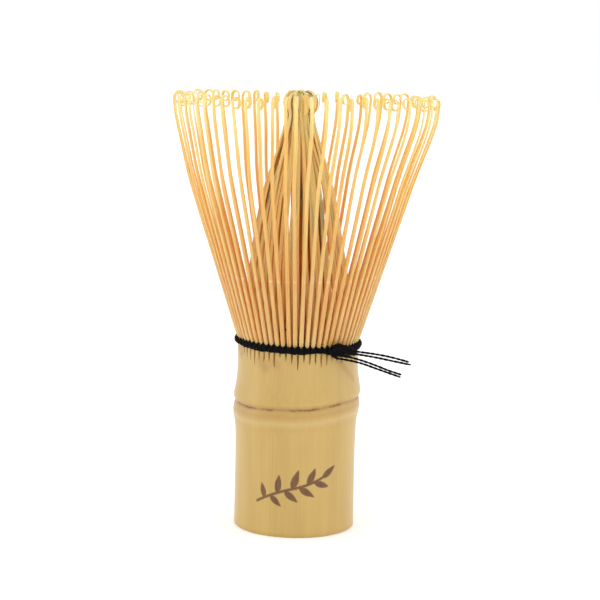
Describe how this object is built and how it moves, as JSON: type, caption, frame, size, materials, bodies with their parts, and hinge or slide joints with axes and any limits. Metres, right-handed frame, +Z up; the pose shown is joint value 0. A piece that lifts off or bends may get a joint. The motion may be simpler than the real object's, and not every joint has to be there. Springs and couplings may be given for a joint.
{
  "type": "bamboo tea whisk",
  "caption": "Bamboo tea whisk: a culm handle split into a flared ring of curled outer tines round a gathered inner bundle, bound at the roots with black thread.",
  "frame": {"origin": "centre of the base circle, at the foot of the handle", "axes": "+Z up along the culm to the tips of the tines; -Y is the front, where the knot is front right; +X is to the right of the front"},
  "size_m": [0.0644, 0.0644, 0.108],
  "materials": {
    "bamboo_culm": "satin natural culm skin",
    "bamboo_tine": "shaved, unvarnished",
    "black_thread": "two-ply twisted thread"
  },
  "bodies": {
    "handle": {"culm_handle": "bamboo_culm", "thread_outer_course": "black_thread", "thread_inner_course": "black_thread", "thread_knot": "black_thread", "thread_strand_1": "black_thread", "thread_strand_2": "black_thread"},
    "outer_tines_01": {"outer_tines_01": "bamboo_tine"},
    "outer_tines_02": {"outer_tines_02": "bamboo_tine"},
    "outer_tines_03": {"outer_tines_03": "bamboo_tine"},
    "outer_tines_04": {"outer_tines_04": "bamboo_tine"},
    "outer_tines_05": {"outer_tines_05": "bamboo_tine"},
    "outer_tines_06": {"outer_tines_06": "bamboo_tine"},
    "outer_tines_07": {"outer_tines_07": "bamboo_tine"},
    "outer_tines_08": {"outer_tines_08": "bamboo_tine"},
    "outer_tines_09": {"outer_tines_09": "bamboo_tine"},
    "outer_tines_10": {"outer_tines_10": "bamboo_tine"},
    "outer_tines_11": {"outer_tines_11": "bamboo_tine"},
    "outer_tines_12": {"outer_tines_12": "bamboo_tine"},
    "outer_tines_13": {"outer_tines_13": "bamboo_tine"},
    "outer_tines_14": {"outer_tines_14": "bamboo_tine"},
    "outer_tines_15": {"outer_tines_15": "bamboo_tine"},
    "outer_tines_16": {"outer_tines_16": "bamboo_tine"},
    "inner_tines_01": {"inner_tines_01": "bamboo_tine"},
    "inner_tines_02": {"inner_tines_02": "bamboo_tine"},
    "inner_tines_03": {"inner_tines_03": "bamboo_tine"},
    "inner_tines_04": {"inner_tines_04": "bamboo_tine"},
    "inner_tines_05": {"inner_tines_05": "bamboo_tine"},
    "inner_tines_06": {"inner_tines_06": "bamboo_tine"},
    "inner_tines_07": {"inner_tines_07": "bamboo_tine"},
    "inner_tines_08": {"inner_tines_08": "bamboo_tine"},
    "inner_tines_09": {"inner_tines_09": "bamboo_tine"},
    "inner_tines_10": {"inner_tines_10": "bamboo_tine"},
    "inner_tines_11": {"inner_tines_11": "bamboo_tine"},
    "inner_tines_12": {"inner_tines_12": "bamboo_tine"},
    "inner_tines_13": {"inner_tines_13": "bamboo_tine"},
    "inner_tines_14": {"inner_tines_14": "bamboo_tine"},
    "inner_tines_15": {"inner_tines_15": "bamboo_tine"},
    "inner_tines_16": {"inner_tines_16": "bamboo_tine"}
  },
  "joints": [
    {"name": "outer_flex_01", "type": "hinge", "parent": "handle", "child": "outer_tines_01", "pos_m": [0.01401, 0.00279, 0.0463], "axis": [-0.1951, 0.9808, 0], "range_deg": [-5, 6], "stiffness_Nm_per_rad": 0.016},
    {"name": "outer_flex_02", "type": "hinge", "parent": "handle", "child": "outer_tines_02", "pos_m": [0.01187, 0.00793, 0.0463], "axis": [-0.5556, 0.8315, 0], "range_deg": [-5, 6], "stiffness_Nm_per_rad": 0.016},
    {"name": "outer_flex_03", "type": "hinge", "parent": "handle", "child": "outer_tines_03", "pos_m": [0.00793, 0.01187, 0.0463], "axis": [-0.8315, 0.5556, 0], "range_deg": [-5, 6], "stiffness_Nm_per_rad": 0.016},
    {"name": "outer_flex_04", "type": "hinge", "parent": "handle", "child": "outer_tines_04", "pos_m": [0.00279, 0.01401, 0.0463], "axis": [-0.9808, 0.1951, 0], "range_deg": [-5, 6], "stiffness_Nm_per_rad": 0.016},
    {"name": "outer_flex_05", "type": "hinge", "parent": "handle", "child": "outer_tines_05", "pos_m": [-0.00279, 0.01401, 0.0463], "axis": [-0.9808, -0.1951, 0], "range_deg": [-5, 6], "stiffness_Nm_per_rad": 0.016},
    {"name": "outer_flex_06", "type": "hinge", "parent": "handle", "child": "outer_tines_06", "pos_m": [-0.00793, 0.01187, 0.0463], "axis": [-0.8315, -0.5556, 0], "range_deg": [-5, 6], "stiffness_Nm_per_rad": 0.016},
    {"name": "outer_flex_07", "type": "hinge", "parent": "handle", "child": "outer_tines_07", "pos_m": [-0.01187, 0.00793, 0.0463], "axis": [-0.5556, -0.8315, 0], "range_deg": [-5, 6], "stiffness_Nm_per_rad": 0.016},
    {"name": "outer_flex_08", "type": "hinge", "parent": "handle", "child": "outer_tines_08", "pos_m": [-0.01401, 0.00279, 0.0463], "axis": [-0.1951, -0.9808, 0], "range_deg": [-5, 6], "stiffness_Nm_per_rad": 0.016},
    {"name": "outer_flex_09", "type": "hinge", "parent": "handle", "child": "outer_tines_09", "pos_m": [-0.01401, -0.00279, 0.0463], "axis": [0.1951, -0.9808, 0], "range_deg": [-5, 6], "stiffness_Nm_per_rad": 0.016},
    {"name": "outer_flex_10", "type": "hinge", "parent": "handle", "child": "outer_tines_10", "pos_m": [-0.01187, -0.00793, 0.0463], "axis": [0.5556, -0.8315, 0], "range_deg": [-5, 6], "stiffness_Nm_per_rad": 0.016},
    {"name": "outer_flex_11", "type": "hinge", "parent": "handle", "child": "outer_tines_11", "pos_m": [-0.00793, -0.01187, 0.0463], "axis": [0.8315, -0.5556, 0], "range_deg": [-5, 6], "stiffness_Nm_per_rad": 0.016},
    {"name": "outer_flex_12", "type": "hinge", "parent": "handle", "child": "outer_tines_12", "pos_m": [-0.00279, -0.01401, 0.0463], "axis": [0.9808, -0.1951, 0], "range_deg": [-5, 6], "stiffness_Nm_per_rad": 0.016},
    {"name": "outer_flex_13", "type": "hinge", "parent": "handle", "child": "outer_tines_13", "pos_m": [0.00279, -0.01401, 0.0463], "axis": [0.9808, 0.1951, 0], "range_deg": [-5, 6], "stiffness_Nm_per_rad": 0.016},
    {"name": "outer_flex_14", "type": "hinge", "parent": "handle", "child": "outer_tines_14", "pos_m": [0.00793, -0.01187, 0.0463], "axis": [0.8315, 0.5556, 0], "range_deg": [-5, 6], "stiffness_Nm_per_rad": 0.016},
    {"name": "outer_flex_15", "type": "hinge", "parent": "handle", "child": "outer_tines_15", "pos_m": [0.01187, -0.00793, 0.0463], "axis": [0.5556, 0.8315, 0], "range_deg": [-5, 6], "stiffness_Nm_per_rad": 0.016},
    {"name": "outer_flex_16", "type": "hinge", "parent": "handle", "child": "outer_tines_16", "pos_m": [0.01401, -0.00279, 0.0463], "axis": [0.1951, 0.9808, 0], "range_deg": [-5, 6], "stiffness_Nm_per_rad": 0.016},
    {"name": "inner_flex_01", "type": "hinge", "parent": "handle", "child": "inner_tines_01", "pos_m": [0.01212, 0.00241, 0.0463], "axis": [-0.1951, 0.9808, 0], "range_deg": [0, 6], "stiffness_Nm_per_rad": 0.008},
    {"name": "inner_flex_02", "type": "hinge", "parent": "handle", "child": "inner_tines_02", "pos_m": [0.01028, 0.00687, 0.0463], "axis": [-0.5556, 0.8315, 0], "range_deg": [0, 6], "stiffness_Nm_per_rad": 0.008},
    {"name": "inner_flex_03", "type": "hinge", "parent": "handle", "child": "inner_tines_03", "pos_m": [0.00687, 0.01028, 0.0463], "axis": [-0.8315, 0.5556, 0], "range_deg": [0, 6], "stiffness_Nm_per_rad": 0.008},
    {"name": "inner_flex_04", "type": "hinge", "parent": "handle", "child": "inner_tines_04", "pos_m": [0.00241, 0.01212, 0.0463], "axis": [-0.9808, 0.1951, 0], "range_deg": [0, 6], "stiffness_Nm_per_rad": 0.008},
    {"name": "inner_flex_05", "type": "hinge", "parent": "handle", "child": "inner_tines_05", "pos_m": [-0.00241, 0.01212, 0.0463], "axis": [-0.9808, -0.1951, 0], "range_deg": [0, 6], "stiffness_Nm_per_rad": 0.008},
    {"name": "inner_flex_06", "type": "hinge", "parent": "handle", "child": "inner_tines_06", "pos_m": [-0.00687, 0.01028, 0.0463], "axis": [-0.8315, -0.5556, 0], "range_deg": [0, 6], "stiffness_Nm_per_rad": 0.008},
    {"name": "inner_flex_07", "type": "hinge", "parent": "handle", "child": "inner_tines_07", "pos_m": [-0.01028, 0.00687, 0.0463], "axis": [-0.5556, -0.8315, 0], "range_deg": [0, 6], "stiffness_Nm_per_rad": 0.008},
    {"name": "inner_flex_08", "type": "hinge", "parent": "handle", "child": "inner_tines_08", "pos_m": [-0.01212, 0.00241, 0.0463], "axis": [-0.1951, -0.9808, 0], "range_deg": [0, 6], "stiffness_Nm_per_rad": 0.008},
    {"name": "inner_flex_09", "type": "hinge", "parent": "handle", "child": "inner_tines_09", "pos_m": [-0.01212, -0.00241, 0.0463], "axis": [0.1951, -0.9808, 0], "range_deg": [0, 6], "stiffness_Nm_per_rad": 0.008},
    {"name": "inner_flex_10", "type": "hinge", "parent": "handle", "child": "inner_tines_10", "pos_m": [-0.01028, -0.00687, 0.0463], "axis": [0.5556, -0.8315, 0], "range_deg": [0, 6], "stiffness_Nm_per_rad": 0.008},
    {"name": "inner_flex_11", "type": "hinge", "parent": "handle", "child": "inner_tines_11", "pos_m": [-0.00687, -0.01028, 0.0463], "axis": [0.8315, -0.5556, 0], "range_deg": [0, 6], "stiffness_Nm_per_rad": 0.008},
    {"name": "inner_flex_12", "type": "hinge", "parent": "handle", "child": "inner_tines_12", "pos_m": [-0.00241, -0.01212, 0.0463], "axis": [0.9808, -0.1951, 0], "range_deg": [0, 6], "stiffness_Nm_per_rad": 0.008},
    {"name": "inner_flex_13", "type": "hinge", "parent": "handle", "child": "inner_tines_13", "pos_m": [0.00241, -0.01212, 0.0463], "axis": [0.9808, 0.1951, 0], "range_deg": [0, 6], "stiffness_Nm_per_rad": 0.008},
    {"name": "inner_flex_14", "type": "hinge", "parent": "handle", "child": "inner_tines_14", "pos_m": [0.00687, -0.01028, 0.0463], "axis": [0.8315, 0.5556, 0], "range_deg": [0, 6], "stiffness_Nm_per_rad": 0.008},
    {"name": "inner_flex_15", "type": "hinge", "parent": "handle", "child": "inner_tines_15", "pos_m": [0.01028, -0.00687, 0.0463], "axis": [0.5556, 0.8315, 0], "range_deg": [0, 6], "stiffness_Nm_per_rad": 0.008},
    {"name": "inner_flex_16", "type": "hinge", "parent": "handle", "child": "inner_tines_16", "pos_m": [0.01212, -0.00241, 0.0463], "axis": [0.1951, 0.9808, 0], "range_deg": [0, 6], "stiffness_Nm_per_rad": 0.008}
  ]
}
